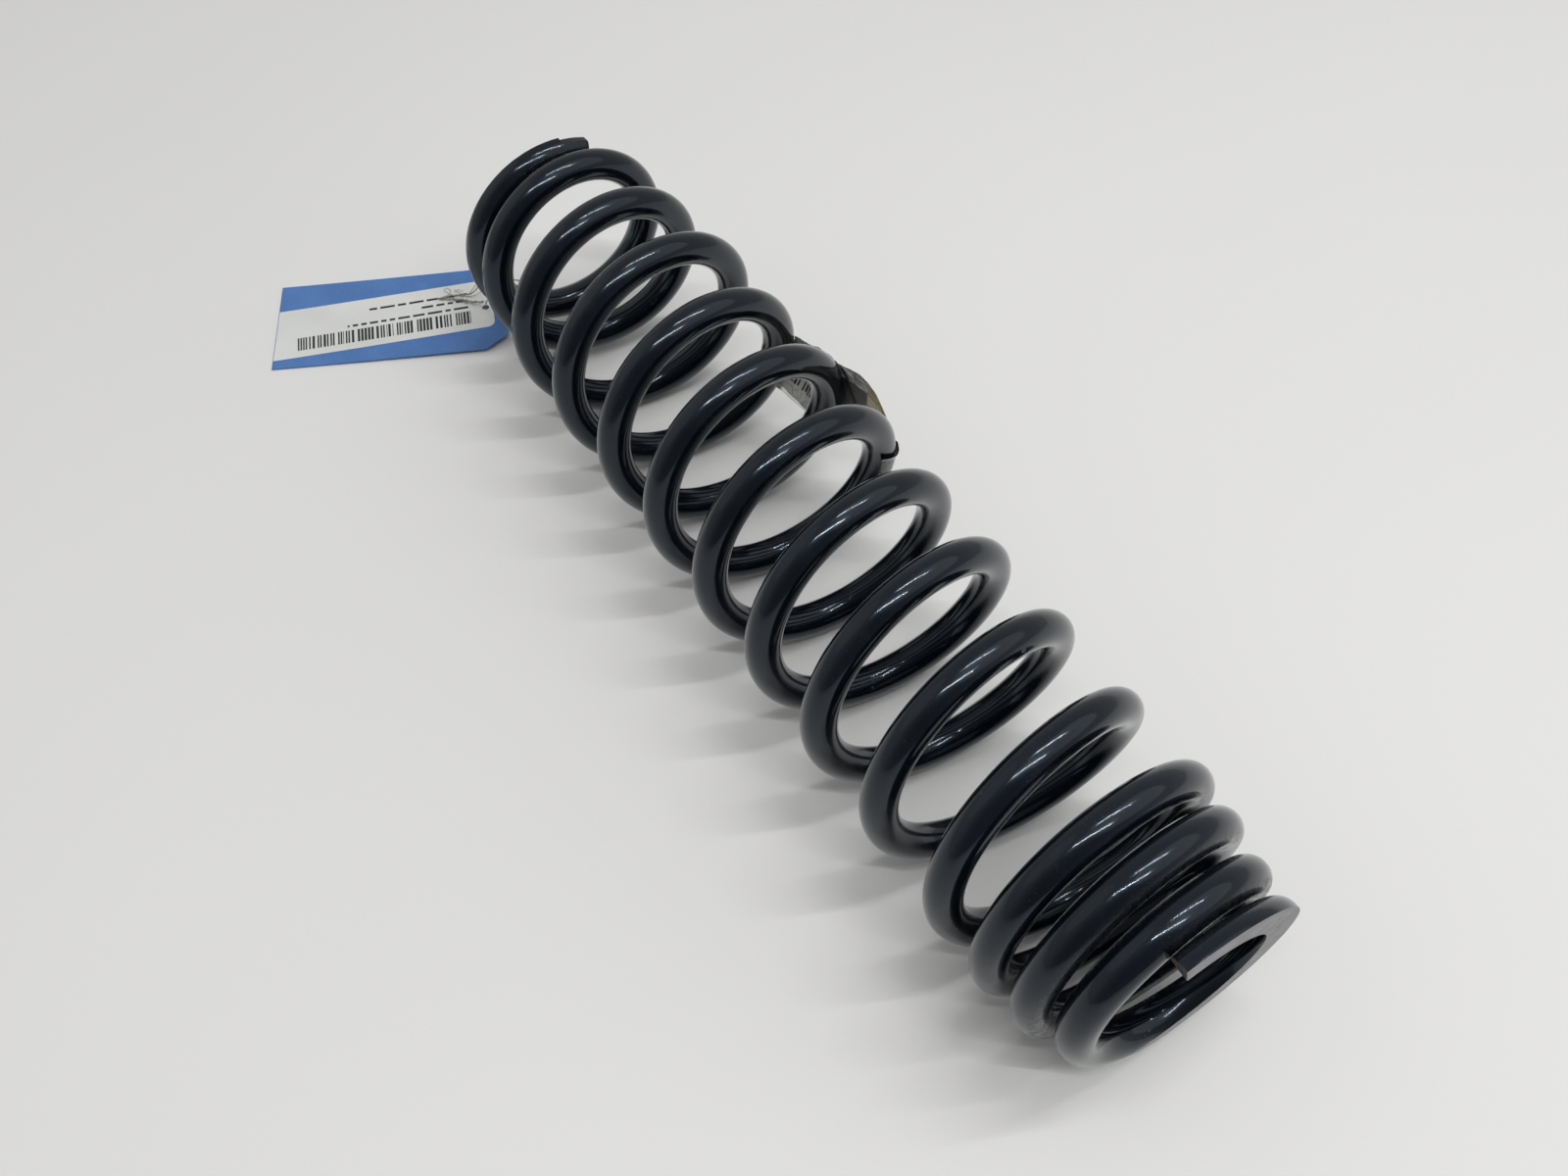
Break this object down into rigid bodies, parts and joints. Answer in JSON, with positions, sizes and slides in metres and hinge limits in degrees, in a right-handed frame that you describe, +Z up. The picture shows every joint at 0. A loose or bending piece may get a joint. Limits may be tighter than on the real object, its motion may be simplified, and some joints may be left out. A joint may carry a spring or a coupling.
{
  "type": "coil spring",
  "caption": "Helical compression spring with close-wound ground ends, a film-covered paper label bound over its coils and a card tag wired to one end.",
  "frame": {"origin": "on the surface that the spring lies on, below the middle of the spring and its label", "axes": "+X along the spring's axis from the close-wound end to the end with the tag, +Z up, +Y to the side away from the label"},
  "size_m": [0.4418, 0.1654, 0.0886],
  "materials": {
    "coated_steel": "near-black gloss coating with light orange peel, nicks and dried dirt",
    "label_paper": "creased matt paper",
    "clear_film": "wrinkled glossy film",
    "blue_card": "matt tag card",
    "white_sticker": "smooth white printed sticker",
    "tie_wire": "dull thin wire"
  },
  "bodies": {
    "near_end": {"near_end_coils": "coated_steel", "active_coils": "coated_steel", "label_sheet": "label_paper", "label_tape": "clear_film"},
    "far_end": {"far_end_coils": "coated_steel", "tag_card": "blue_card", "tag_sticker": "white_sticker", "tag_tie": "tie_wire"}
  },
  "joints": [
    {"name": "compress", "type": "slide", "parent": "near_end", "child": "far_end", "axis": [-1, 0, 0], "range_m": [0, 0.15], "stiffness_N_per_m": 40000, "deforming": ["active_coils", "label_sheet", "label_tape"]}
  ]
}
